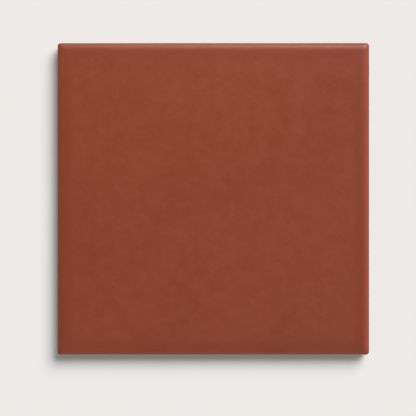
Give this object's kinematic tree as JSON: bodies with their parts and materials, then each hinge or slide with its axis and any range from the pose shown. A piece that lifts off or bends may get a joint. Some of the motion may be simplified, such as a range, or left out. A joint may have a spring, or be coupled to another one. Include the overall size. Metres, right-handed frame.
{
  "type": "ceramic tile",
  "caption": "Square satin-glazed terracotta-red ceramic tile with cushioned edges, upright joint faces and a waffle key on the back, laid flat to cover a wall or floor.",
  "frame": {"origin": "middle of the plane that the feet of the back's key ribs stand on", "axes": "+Z out of the glazed face, +X and +Y square to two neighbouring joint faces"},
  "size_m": [0.15, 0.15, 0.008],
  "materials": {
    "glaze": "satin"
  },
  "bodies": {
    "root": {"tile": "glaze"}
  },
  "joints": []
}
